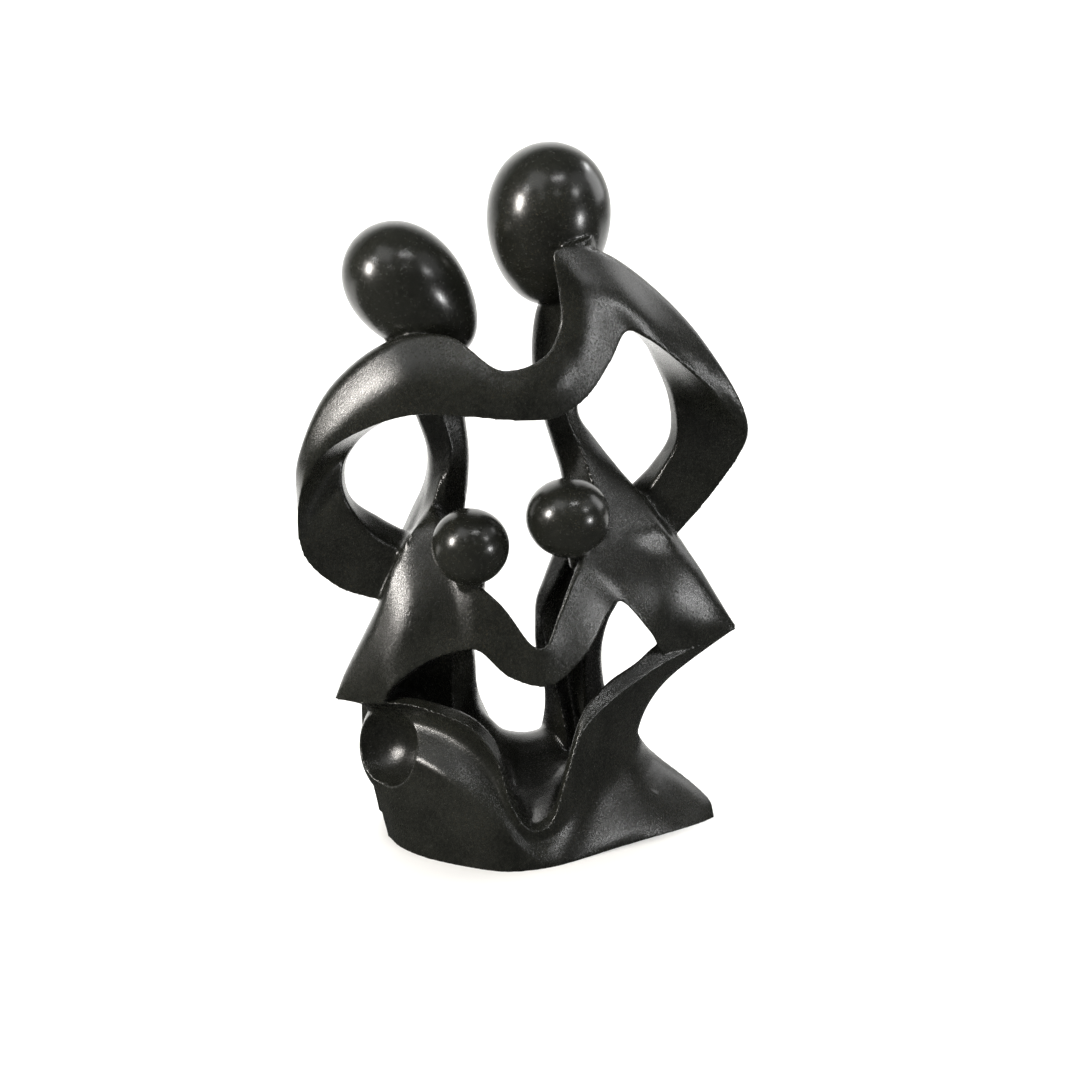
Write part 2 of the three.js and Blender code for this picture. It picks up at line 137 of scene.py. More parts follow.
def curve_through(points, rows):
    """Points along a centripetal Catmull-Rom curve through the rail's own points."""
    first = 2 * points[0] - points[1]
    last = 2 * points[-1] - points[-2]
    guide = np.vstack([first, points, last])
    place = np.linspace(0, len(points) - 1, rows + 1)
    index = np.minimum(place.astype(int), len(points) - 2)
    t = (place - index)[:, None]
    p0, p1, p2, p3 = (guide[index + k] for k in range(4))
    d0, d1, d2 = (np.linalg.norm(b - a, axis=1, keepdims=True) ** 0.5
                  for a, b in ((p0, p1), (p1, p2), (p2, p3)))
    leave = ((p1 - p0) / d0 - (p2 - p0) / (d0 + d1)) * d1 + (p2 - p1)
    arrive = (p2 - p1) - ((p3 - p1) / (d1 + d2) - (p3 - p2) / d2) * d1
    square = -3 * p1 + 3 * p2 - 2 * leave - arrive
    cube = 2 * p1 - 2 * p2 + leave + arrive
    return p1 + leave * t + square * t**2 + cube * t**3


def shares_along(share, rows):
    """The rounding before and after a rail at every row. A share is one value, a pair for before
    and after, or a value at each point."""
    if isinstance(share, list) and len(share) > 2:
        known = np.linspace(0, 1, len(share))
        row = np.interp(np.linspace(0, 1, rows + 1), known, share)
        return row, row
    before, after = share if isinstance(share, list) else (share, share)
    return np.full(rows + 1, before), np.full(rows + 1, after)


def close_end(skin_row, start, faces, faces_back):
    """Closes an end by a strip zipped between its two sides, so a hollowed end stays hollow."""
    size = len(skin_row)
    low, high = size, 1
    while low - high > 1:
        a, b = skin_row[low % size], skin_row[high]
        upward = np.linalg.norm(a - skin_row[high + 1]) < np.linalg.norm(b - skin_row[low - 1])
        face = (start + low % size, start + high, start + (high + 1 if upward else low - 1))
        faces.append(face[::-1] if faces_back else face)
        if upward:
            high += 1
        else:
            low -= 1


def limb(rails):
    """The closed skin whose every section turns a corner at every rail."""
    rows = (len(rails[0][0]) - 1) * STEPS
    through = np.stack([curve_through(points, rows) for points, _ in rails], axis=1)
    shares = [shares_along(share, rows) for _, share in rails]
    before = np.stack([pair[0] for pair in shares], axis=1)[..., None]
    after = np.stack([pair[1] for pair in shares], axis=1)[..., None]
    corners = through
    for _ in range(ROUND_PASSES):
        pull = before / 4 * np.roll(corners, 1, axis=1) + after / 4 * np.roll(corners, -1, axis=1)
        corners = (through - pull) / (1 - (before + after) / 4)
    starts = corners + (np.roll(corners, 1, axis=1) - corners) * before
    ends = corners + (np.roll(corners, -1, axis=1) - corners) * after
    ring = []
    for i, (_, share) in enumerate(rails):
        a, b, c = starts[:, i], corners[:, i], ends[:, i]
        turns = [0.0] if share == 0 else np.linspace(0, 1, CORNER_FACETS + 1)
        ring += [(1 - t) ** 2 * a + 2 * t * (1 - t) * b + t**2 * c for t in turns]
        following = starts[:, (i + 1) % len(rails)]
        across = np.linspace(0, 1, FACE_FACETS + 1)[1:-1]
        ring += [c * (1 - t) + following * t for t in across]
    skin = np.stack(ring, axis=1)
    size = skin.shape[1]
    faces = []
    for row in range(rows):
        for i in range(size):
            a, b = row * size + i, row * size + (i + 1) % size
            faces.append((a, b, b + size, a + size))
    close_end(skin[0], 0, faces, True)
    close_end(skin[-1], rows * size, faces, False)
    return skin.reshape(-1, 3), faces


def turned(points, direction):
    """Points turned from their own +Z to a direction."""
    turn = Vector((0, 0, 1)).rotation_difference(Vector(direction).normalized()).to_matrix()
    return points @ np.array(turn).T


def ball(mesh_size, shape):
    """A closed surface of revolution about +Z. Shape gives the height and girth at an angle from
    the bottom."""
    rings, sides = mesh_size
    around = np.arange(sides) * 2 * math.pi / sides
    points = []
    for i in range(1, rings):
        height, girth = shape(math.pi * i / rings)
        points += [(girth * math.cos(a), girth * math.sin(a), height) for a in around]
    points += [(0, 0, shape(0)[0]), (0, 0, shape(math.pi)[0])]
    bottom, top = len(points) - 2, len(points) - 1
    last = (rings - 2) * sides
    faces = []
    for j in range(sides):
        k = (j + 1) % sides
        faces.append((bottom, k, j))
        faces += [(i + j, i + k, i + sides + k, i + sides + j) for i in range(0, last, sides)]
        faces.append((top, last + j, last + k))
    return np.array(points), faces


def egg(head):
    """A faceless head, wider towards its crown by its taper, and leaning the way of its crown."""
    half, radius, taper = head["length"] / 2, head["radius"], head["taper"]
    points, faces = ball(ROUND_MESH, lambda angle: (
        -half * math.cos(angle),
        radius * math.sin(angle) * (1 - taper * math.cos(angle)),
    ))
    return turned(points, head["crown"]) + head["middle"], faces


def neck(stub):
    """A plain round stub that carries a head."""
    start, end = Vector(stub["start"]), Vector(stub["end"])
    half, radius = (end - start).length / 2, stub["radius"]
    sides = NECK_SIDES
    points = [(radius * math.cos(a), radius * math.sin(a), z)
              for z in (-half, half) for a in np.arange(sides) * 2 * math.pi / sides]
    faces = [(j, (j + 1) % sides, (j + 1) % sides + sides, j + sides) for j in range(sides)]
    faces += [tuple(range(sides))[::-1], tuple(range(sides, 2 * sides))]
    return turned(np.array(points), end - start) + np.array((start + end) / 2), faces


def round_form(mesh_size, radii, middle):
    """A ball or an egg shape with its axes along X, Y and Z."""
    points, faces = ball(mesh_size, lambda angle: (-math.cos(angle), math.sin(angle)))
    return points * radii + middle, faces


def adult_arms():
    """The adults' arms are one limb, from the mother's hand on the boy's back, round her elbow
    and shoulder, along the linked band and round the father's shoulder and elbow to his hand."""
    crease = rail([
        [-80, 4, 161], [-122, 8, 174], [-145, 4, 198], [-148, -1, 232], [-134, -16, 267],
        [-107, -30, 287], [-77, -41, 297], [-47, -47, 296], [-16, -50, 293], [11, -50, 294],
        [31, -46, 306], [47, -40, 327], [58, -34, 344], [71, -31, 339], [87, -27, 328],
        [122, -14, 297], [146, 0, 263], [131, 6, 233], [102, 4, 200], [84, 2, 184],
    ], 0)
    outer = rail([
        [-77, 32, 157], [-119, 34, 179], [-141, 28, 208], [-147, 14, 243], [-146, 2, 266],
        [-127, -4, 308], [-89, -20, 340.5], [-54, -31, 344], [-23, -45, 324], [4, -48, 333],
        [14, -43, 353], [13, -41, 374], [11, -38, 396], [36, -27, 396], [72, -9, 375],
        [113, -6, 333], [146, 2, 273], [137, 28, 238], [105, 36, 204], [88, 34, 186],
    ], [
        0.45, 0.45, 0.45, 0.4, 0.4, 0.4, 0.3, 0.08, 0.05, 0.05, 0.05, 0.05, 0.05, 0.2, 0.4, 0.4,
        0.4, 0.45, 0.45, 0.45,
    ])
    inner = rail([
        [-70, 2, 192], [-101, 4, 210], [-118, 2, 236], [-119, 8, 254], [-109, 12, 269],
        [-91, 2, 285], [-69, -14, 298], [-43, -25, 300], [-12, -30, 296], [12, -30, 299],
        [30, -24, 310], [47, -15, 328], [66, -2, 340], [77, 5, 331], [87, 12, 318],
        [101, 15, 291], [104, 12, 263], [94, 12, 243], [82, 14, 222], [74, 14, 205],
    ], 0.15)
    back = beside(inner, [
        [7, 24, 7], [8, 22, 6], [5, 20, -4], [3, 12, 0], [2, 10, 1], [1, 14, 3], [1, 22, 5],
        [3, 17, 7], [2, 13, 5], [0, 14, 5], [-2, 16, 6], [-2, 19, 6], [1, 18, 2], [1, 15, 2],
        [0, 12, 1], [-1, 12, -1], [-2, 16, 1], [-4, 20, -1], [-10, 16, 2], [-7, 16, 4],
    ], 0.35)
    spine = between(outer, back, 0.52, [
        8, 10, 12, 16, 22, 24, 20, 8, 8, 8, 8, 14, 20, 22, 24, 24, 20, 12, 10, 10,
    ], 0.45)
    front = between(outer, crease, 0.5, [
        -3, -3, -3, -4, -5, -7, -8, -6, -4, -4, -4, -5, -6, -6, -6, -5, -4, -3, -3, -3,
    ], 0.45)
    hollow = between(crease, inner, 0.5, ARM_HOLLOW, 0.4)
    return limb([crease, hollow, inner, back, spine, outer, front])


def mother_body():
    """The mother's body, from her neck down her back to the base."""
    ridge = rail([
        [-78, -16, 336], [-66, -8, 315], [-57, 6, 300], [-54, 10, 287], [-47, 12, 261],
        [-52, 12, 238], [-53, 10, 215], [-50, 4, 185], [-49, 2, 157], [-49, 4, 125], [-49, 6, 93],
        [-46, 4, 60], [-42, 0, 20],
    ], 0)
    left = rail([
        [-90, -10, 338], [-84, 6, 316], [-73, 22, 295], [-68, 26, 283], [-60, 28, 258],
        [-61, 28, 235], [-70, 30, 212], [-82, 30, 182], [-87, 30, 151], [-94, 32, 120],
        [-94, 32, 96], [-94, 28, 60], [-92, 20, 10],
    ], 0.25)
    right = rail([
        [-66, -18, 336], [-47, 5, 313], [-39, 18, 296], [-37, 22, 283], [-34, 24, 259],
        [-35, 24, 236], [-38, 24, 212], [-37, 20, 182], [-35, 18, 148], [-32, 20, 119],
        [-30, 24, 88], [-20, 28, 62], [-8, 30, 14],
    ], 0.3)
    back_right = rail([
        [-68, 4, 337], [-54, 28, 316], [-42, 46, 294], [-39, 52, 281], [-36, 54, 257],
        [-37, 54, 234], [-40, 55, 208], [-41, 57, 180], [-40, 58, 143], [-36, 61, 110],
        [-32, 63, 80], [-22, 65, 50], [-14, 66, 4],
    ], 0.42)
    back_left = rail([
        [-88, 4, 338], [-80, 26, 319], [-66, 44, 297], [-62, 50, 283], [-56, 52, 258],
        [-58, 54, 235], [-68, 56, 210], [-80, 56, 180], [-89, 54, 144], [-98, 53, 113],
        [-101, 51, 82], [-99, 48, 50], [-88, 44, 4],
    ], 0.42)
    return limb([ridge, right, back_right, back_left, left])


def mother_hip():
    """Her hip runs forward from the body into the left edge of the boy's cape."""
    ridge = rail([
        [-48, 20, 262], [-54, 14, 243], [-60, 10, 228], [-76, -2, 211], [-84, -4, 197],
        [-90, -3, 178], [-96, -1, 160],
    ], 0)
    left = rail([
        [-57, 34, 252], [-62, 28, 232], [-66, 27, 219], [-73, 24, 205], [-82, 18, 190],
        [-90, 14, 172], [-94, 16, 156],
    ], 0.25)
    right = rail([
        [-38, 30, 252], [-36, 24, 232], [-38, 20, 212], [-38, 12, 196], [-38, 4, 182],
        [-40, -2, 168], [-44, 0, 154],
    ], 0.3)
    back = rail([
        [-48, 46, 250], [-50, 46, 230], [-54, 46, 212], [-60, 46, 196], [-68, 44, 182],
        [-74, 40, 168], [-76, 36, 152],
    ], 0.42)
    return limb([ridge, right, back, left])


def father_body():
    """The father's body, from his neck to the base. Down the front of the leg runs a groove."""
    ridge = rail([
        [32, -24, 390], [31, -15, 368], [27, -5, 354], [23, 4, 317], [28, 8, 283], [35, 8, 265],
        [42, 8, 238], [36, 6, 205], [22, 4, 174], [14, 7, 156], [12, 8, 143], [15, 8, 122],
        [21, 8, 97], [27, 4, 70], [30, 0, 20],
    ], 0)
    groove = rail([
        [34, -23, 390], [36, -13, 367], [33, -2, 353], [29, 8, 316], [32, 12, 283], [39, 12, 264],
        [48, 12, 236], [44, 10, 204], [32, 14, 172], [28, 20, 155], [28, 22, 140], [30, 22, 118],
        [32, 20, 93], [35, 14, 64], [36, 8, 18],
    ], 0.3)
    front = rail([
        [36, -22, 390], [42, -10, 366], [38, 2, 352], [34, 10, 315], [35, 16, 283], [42, 14, 264],
        [54, 12, 235], [54, 8, 204], [44, 8, 171], [41, 10, 156], [42, 12, 141], [41, 12, 121],
        [41, 12, 93], [42, 10, 64], [44, 6, 18],
    ], 0.2)
    right = rail([
        [46, -14, 390], [56, 0, 362], [53, 5, 345], [43, 14, 311], [38, 20, 283], [50, 20, 263],
        [66, 20, 236], [74, 18, 204], [68, 16, 168], [66, 20, 152], [60, 24, 137], [56, 26, 116],
        [58, 26, 87], [62, 24, 56], [70, 22, 10],
    ], 0.3)
    back_right = rail([
        [46, 6, 388], [54, 26, 364], [52, 38, 346], [44, 50, 311], [40, 54, 283], [46, 54, 262],
        [58, 54, 234], [68, 52, 204], [69, 50, 168], [66, 51, 150], [61, 54, 133], [58, 56, 110],
        [60, 58, 80], [66, 61, 46], [76, 58, 4],
    ], 0.42)
    back_left = rail([
        [24, 6, 388], [22, 26, 366], [22, 40, 350], [20, 50, 316], [24, 53, 283], [30, 54, 262],
        [39, 54, 236], [40, 55, 205], [34, 56, 170], [30, 57, 152], [27, 58, 135], [26, 60, 112],
        [30, 62, 80], [26, 64, 46], [18, 66, 4],
    ], 0.42)
    left = rail([
        [20, -12, 391], [14, 2, 366], [9, 14, 350], [8, 22, 316], [16, 24, 279], [21, 24, 262],
        [28, 24, 238], [29, 24, 208], [16, 22, 172], [10, 21, 156], [9, 20, 143], [10, 22, 120],
        [17, 26, 89], [16, 28, 60], [4, 32, 14],
    ], 0.25)
    return limb([ridge, groove, front, right, back_right, back_left, left])


def father_hip():
    """His hip runs forward and out from the body into the top edge of the girl's cape."""
    ridge = rail([
        [33, 12, 274], [41, 0, 248], [46, -9, 228], [50, -18, 209], [54, -22, 190],
        [58, -23, 172],
    ], 0)
    right = rail([
        [46, 26, 270], [63, 15, 247], [79, 6, 228], [94, -2, 206], [106, 3, 186], [114, 8, 170],
    ], 0.3)
    back = rail([
        [40, 46, 268], [54, 46, 244], [68, 44, 224], [80, 36, 202], [90, 30, 184], [96, 24, 168],
    ], 0.42)
    left = rail([
        [28, 32, 270], [32, 24, 246], [34, 14, 226], [36, 4, 207], [42, -6, 188], [48, -10, 168],
    ], 0.25)
    front = between(ridge, right, 0.5, -HIP_SWELL, 0.45)
    return limb([ridge, front, right, back, left])


def child_arms():
    """The children's arms and capes are one limb from the left hem corner to the right one."""
    lower = rail([
        [-126, 1, 100], [-99, -21, 104], [-95, -27, 114], [-73, -33, 133], [-49, -38, 142],
        [-39, -41, 142], [-21, -48, 126], [-1, -52, 119], [11, -51, 121], [33, -45, 140],
        [48, -36, 162], [55, -34, 168], [64, -33, 161], [78, -28, 143], [91, -15, 124],
        [115, -9, 128], [142, 0, 133],
    ], 0)
    upper = rail([
        [-127, 4, 101], [-121, 2, 116], [-101, -2, 158], [-86, -3, 194], [-62, 3, 222],
        [-42, -28, 189], [-22, -41, 170], [-4, -50, 146], [3, -50, 145], [13, -44, 164],
        [24, -37, 187], [33, -30, 202], [54, -14, 211], [93, 2, 205], [113, 0, 182],
        [130, 0, 156], [143, 2, 136],
    ], [
        0.1, 0.4, 0.4, 0.15, 0.4, 0.25, 0.08, 0.08, 0.08, 0.08, 0.15, 0.25, 0.4, 0.4, 0.4, 0.4,
        0.1,
    ])
    upper_back = beside(upper, [
        [2, 8, -1], [9, 20, -4], [14, 34, -2], [18, 34, -8], [10, 28, -10], [4, 20, -12],
        [1, 20, -14], [4, 20, -14], [6, 20, -14], [7, 22, -10], [8, 26, -8], [14, 28, -8],
        [18, 32, -8], [8, 30, -8], [3, 25, -12], [2, 20, -7], [2, 10, -2],
    ], 0.35)
    lower_back = beside(lower, [
        [2, 10, -2], [8, 24, -6], [11, 40, -6], [9, 38, -5], [7, 32, 1], [5, 28, 1], [2, 22, 4],
        [4, 20, 2], [3, 20, 1], [1, 22, -1], [4, 26, -3], [7, 30, -4], [8, 36, -6], [10, 38, -5],
        [10, 34, 1], [10, 24, 0], [1, 10, -2],
    ], 0.35)
    chest = between(lower, upper, 0.5, [
        0, -3, -5, -6, -5, -2, 0, 0, 0, 0, -1, -2, -3, -5, -6, -4, 0,
    ], 0.4)
    return limb([lower, chest, upper, upper_back, lower_back])


def base():
    """The base: a crisp ridge runs from hem corner to hem corner and dips to the front of the
    valley between the skirts; below it the skirts hollow in to the waist, fold and flare out to
    the foot."""
    ridge = rail([
        [-127, 4, 100], [-111, -12, 101], [-86, -30, 105], [-64, -42, 101], [-44, -51, 92],
        [-31, -58, 76], [-20, -63, 40], [-9, -65, 26], [3, -64, 27], [15, -59, 56], [28, -50, 87],
        [48, -40, 102], [69, -28, 111], [90, -18, 119], [116, -8, 126], [143, 0, 134],
    ], 0)
    inside = rail([
        [-121, 16, 98], [-103, 6, 98], [-83, -19, 106], [-60, -31, 103], [-42, -40, 96],
        [-29, -46, 82], [-19, -53, 50], [-8, -57, 29], [6, -56, 34], [18, -49, 67], [30, -41, 96],
        [48, -30, 111], [70, -18, 120], [88, -9, 130], [116, 2, 133], [143, 8, 134],
    ], 0.1)
    valley = rail([
        [-104, 22, 84], [-92, 24, 80], [-77, 5, 80], [-53, -5, 76], [-34, -12, 62],
        [-20, -20, 50], [-12, -28, 36], [-1, -30, 33], [11, -28, 38], [22, -20, 48], [35, -5, 56],
        [53, 2, 68], [64, 8, 72], [72, 12, 72], [77, 16, 74], [79, 18, 75],
    ], [0.5, 0.85])
    sill = rail([
        [-102, 30, 48], [-90, 38, 48], [-76, 46, 48], [-51, 48, 56], [-24, 34, 72], [-12, 32, 62],
        [-3, 32, 59], [6, 32, 58], [15, 32, 60], [23, 32, 64], [35, 34, 65], [52, 40, 49],
        [66, 40, 33], [74, 36, 33], [82, 30, 34], [86, 22, 36],
    ], 0.42)
    heel = rail([
        [-90, 40, 0], [-76, 54, 0], [-58, 62, 0], [-40, 66, 0], [-25, 67, 0], [-12, 68, 0],
        [-2, 68, 0], [8, 68, 0], [18, 68, 0], [28, 67, 0], [42, 66, 0], [62, 62, 0], [85, 52, 0],
        [108, 38, 0], [125, 22, 0], [132, 10, 0],
    ], 0)
    toe = rail([
        [-94, 4, 0], [-88, -16, 0], [-74, -36, 0], [-56, -51, 0], [-41, -61, 0], [-29, -67, 0],
        [-18, -69, 0], [-5, -68, 0], [8, -65, 0], [20, -60, 0], [40, -50, 0], [62, -39, 0],
        [86, -28, 0], [108, -18, 0], [122, -10, 0], [130, -4, 0],
    ], 0)
    belly = rail([
        [-101, 3, 32], [-91, -18, 32], [-75, -35, 29], [-57, -49, 24], [-41, -58.5, 18],
        [-28, -66, 13], [-17, -68, 7], [-5, -68, 5], [8, -65, 5], [22, -58, 6], [42, -47, 9],
        [64, -35, 12], [86, -22, 14], [104, -10, 15], [116, -2, 17], [122, 4, 18],
    ], [0.5, 0.4])
    waist = rail([
        [-101, 3, 90], [-92, -3, 93], [-79, -12, 92], [-61, -24, 88], [-45, -36, 80],
        [-31, -48, 64], [-22, -59, 38], [-9, -64, 20], [5, -62, 21], [20, -55, 37], [36, -42, 56],
        [53, -30, 71], [67, -19, 80], [80, -9, 87], [89, -1, 93], [93, 3, 97],
    ], [0.8, 0.4])
    fold = rail([
        [-103, 2, 62], [-92, -14, 67], [-78, -29, 66], [-62, -43, 60], [-47, -53, 49],
        [-35, -59, 38], [-23, -65, 24], [-9, -66.5, 13], [6, -64, 13], [22, -56, 20],
        [39, -41, 31], [56, -28, 40], [70, -16, 47], [77, -5, 52], [80, 4, 55], [81, 12, 56],
    ], [
        0.3, 0.12, 0.1, 0.1, 0.13, 0.3, 0.4, 0.4, 0.45, 0.45, 0.45, 0.45, 0.45, 0.45, 0.45, 0.45,
    ])
    return limb([toe, heel, sill, valley, inside, ridge, waist, fold, belly])


def block(name, shape):
    """A mesh object, in metres, of a shape in millimetres."""
    points, faces = shape
    mesh = bpy.data.meshes.new(name)
    mesh.from_pydata((points * MM).tolist(), [], faces)
    made = bpy.data.objects.new(name, mesh)
    bpy.context.scene.collection.objects.link(made)
    return made


def settled(made, kind, **settings):
    """Applies one modifier to an object for good."""
    modifier = made.modifiers.new(kind.lower(), kind)
    for key, value in settings.items():
        setattr(modifier, key, value)
    graph = bpy.context.evaluated_depsgraph_get()
    result = bpy.data.meshes.new_from_object(made.evaluated_get(graph))
    made.modifiers.clear()
    made.data = result
    return made


def gathered(name, made):
    """One object that holds the faces of several, which are removed."""
    points, faces, count = [], [], 0
    for part in made:
        mesh = part.data
        own = np.empty(3 * len(mesh.vertices), np.float32)
        mesh.vertices.foreach_get("co", own)
        points.append(own.reshape(-1, 3) / MM)
        faces += [tuple(v + count for v in face.vertices) for face in mesh.polygons]
        count += len(mesh.vertices)
        bpy.data.objects.remove(part)
    return block(name, (np.vstack(points), faces))


def places(mesh):
    """The mesh's points, in millimetres."""
    found = np.empty(3 * len(mesh.vertices), np.float32)
    mesh.vertices.foreach_get("co", found)
    return found.reshape(-1, 3).astype(float) / MM


def edge_ends(mesh):
    """The two vertices of every edge, as two rows."""
    found = np.empty(2 * len(mesh.edges), np.int32)
    mesh.edges.foreach_get("vertices", found)
    return found.reshape(-1, 2).T


def neighbour_mean(values, ends):
    """The mean of each vertex's neighbours."""
    a, b = ends
    count = np.bincount(a, minlength=len(values)) + np.bincount(b, minlength=len(values))
    total = np.stack([
        np.bincount(a, values[b, k], len(values)) + np.bincount(b, values[a, k], len(values))
        for k in range(values.shape[1])
    ], axis=1)
    return total / np.maximum(count, 1)[:, None]


def eased(points, ends, passes):
    """Smoothed points. Each pass is followed by one that swells them back, so that the form
    doesn't shrink."""
    for _ in range(passes):
        for share in (SMOOTH_SHARE, SWELL_SHARE):
            points = points + (neighbour_mean(points, ends) - points) * share
    return points


def softened(points, ends, turn):
    """Rounds the joins that the carver blended, by plain smoothing that fades with distance and
    leaves the crisp edges where they are."""
    flat = np.clip(1 - turn / CRISP_TURN, 0, 1)
    for middle, reach, passes in SOFT_JOINS:
        away = np.linalg.norm(points - middle, axis=1) / reach
        strength = (np.clip(1 - away, 0, 1) ** 0.5 * flat)[:, None] * JOIN_SHARE
        near = np.flatnonzero(away < 1)
        picked = np.isin(ends[0], near) & np.isin(ends[1], near)
        local = ends[:, picked]
        number = np.full(len(points), -1)
        number[near] = np.arange(len(near))
        inside = points[near]
        for _ in range(passes):
            mean = neighbour_mean(inside, number[local])
            inside = inside + (mean - inside) * strength[near]
        points[near] = inside
    return points


def head_gloss(points):
    """One on the heads, which are polished further than the rest of the stone."""
    gloss = np.zeros(len(points))
    for head in HEADS.values():
        axis = np.array(Vector(head["crown"]).normalized())
        offset = points - head["middle"]
        height = offset @ axis / (head["length"] / 2)
        girth = np.linalg.norm(offset - np.outer(offset @ axis, axis), axis=1)
        girth /= head["radius"] * (1 + head["taper"] * height)
        away = np.hypot(height, girth)
        gloss = np.maximum(gloss, np.clip((POLISH_REACH - away) / POLISH_FADE, 0, 1))
    return gloss


def bulge(points, normals, ends):
    """How sharply the surface turns outwards, in 1/mm: high on edges, negative in hollows."""
    lift = ((points - neighbour_mean(points, ends)) * normals).sum(axis=1)
    spacing = np.linalg.norm(points[ends[0]] - points[ends[1]], axis=1).mean()
    turn = lift / spacing**2
    for _ in range(TURN_PASSES):
        turn = (turn + neighbour_mean(turn[:, None], ends)[:, 0]) / 2
    return turn


def moved(mesh, points):
    """Moves the vertices and gives their new normals."""
    mesh.vertices.foreach_set("co", (points * MM).astype(np.float32).ravel())
    mesh.update()
    normals = np.empty(3 * len(mesh.vertices), np.float32)
    mesh.vertex_normals.foreach_get("vector", normals)
    return normals.reshape(-1, 3)


def keep(mesh, name, values):
    """Stores one value for each vertex, for the material to read."""
    attribute = mesh.attributes.new(name, "FLOAT", "POINT")
    attribute.data.foreach_set("value", values.astype(np.float32))


def carve_family():
    """The whole sculpture as one mesh: the forms joined, the bowl cut, the edges eased."""
    hollow = block("bowl", round_form(ROUND_MESH, BOWL["radius"], BOWL["middle"]))
    flank = round_form(FLANK_MESH, FLANK["radii"], FLANK["middle"])
    cut = [
        settled(block("stock", shape), "BOOLEAN",
                operation="DIFFERENCE", solver="MANIFOLD", object=hollow)
        for shape in (base(), flank, mother_body())
    ]
    bpy.data.objects.remove(hollow)
    whole = [mother_hip(), father_body(), father_hip(), adult_arms(), child_arms()]
    whole += [egg(head) for head in HEADS.values()]
    whole += [neck(stub) for stub in NECKS.values()]
    stone = gathered("carved_stone_family", cut + [block("stock", shape) for shape in whole])
    settled(stone, "REMESH", mode="VOXEL", voxel_size=VOXEL * MM)
    mesh = stone.data
    points, ends = places(mesh), edge_ends(mesh)
    points = eased(points, ends, EASING_BEFORE)
    points = softened(points, ends, bulge(points, moved(mesh, points), ends))
    points = eased(points, ends, EASING_AFTER)
    points[:, 2] = np.where(points[:, 2] < FOOT, 0, points[:, 2])
    keep(mesh, "turn", bulge(points, moved(mesh, points), ends))
    triangles = sum(len(face.vertices) - 2 for face in mesh.polygons)
    settled(stone, "DECIMATE", ratio=min(1, TRIANGLES / triangles))
    stone.data.shade_smooth()
    keep(stone.data, "polish", head_gloss(places(stone.data)))
    return stone


# Patterns of the stone: the size of one blob in millimetres, then the noise's detail and roughness.
# The marks of 400 grit are about 0.03 mm wide, too fine to show, so the sanding is drawn 1 mm wide.
PATTERNS = {
    "clouds": (36, 5, 0.6),
    "patches": (71, 3, 0.5),
    "grain": (2.38, 3, 0.7),
    "specks": (1.053, 2, 0.5),
    "sanding": (1, 4, 0.75),
}

# Sockets of a Mix node, which Blender finds only by number: two values, two colours, their mixture.
VALUE_A, VALUE_B = 2, 3
COLOUR_A, COLOUR_B, COLOUR_MIX = 6, 7, 2

# Height of the bump, in metres, which the sanding and the grain share out between them.
RELIEF = 0.0002


def linear(colour):
    """An sRGB hex colour as linear red, green, blue and alpha."""
    parts = [int(colour[i:i + 2], 16) / 255 for i in (1, 3, 5)]
    return [c / 12.92 if c <= 0.04045 else ((c + 0.055) / 1.055) ** 2.4 for c in parts] + [1.0]


def add(tree, kind, settings=None, links=None):
    """Adds one node, with its settings, its socket values and the links into it, and gives its
    outputs."""
    made = tree.nodes.new("ShaderNode" + kind)
    for key, value in (settings or {}).items():
        if isinstance(key, int) or key in made.inputs:
            made.inputs[key].default_value = value
        else:
            setattr(made, key, value)
    for key, source in (links or {}).items():
        tree.links.new(source, made.inputs[key])
    return made.outputs


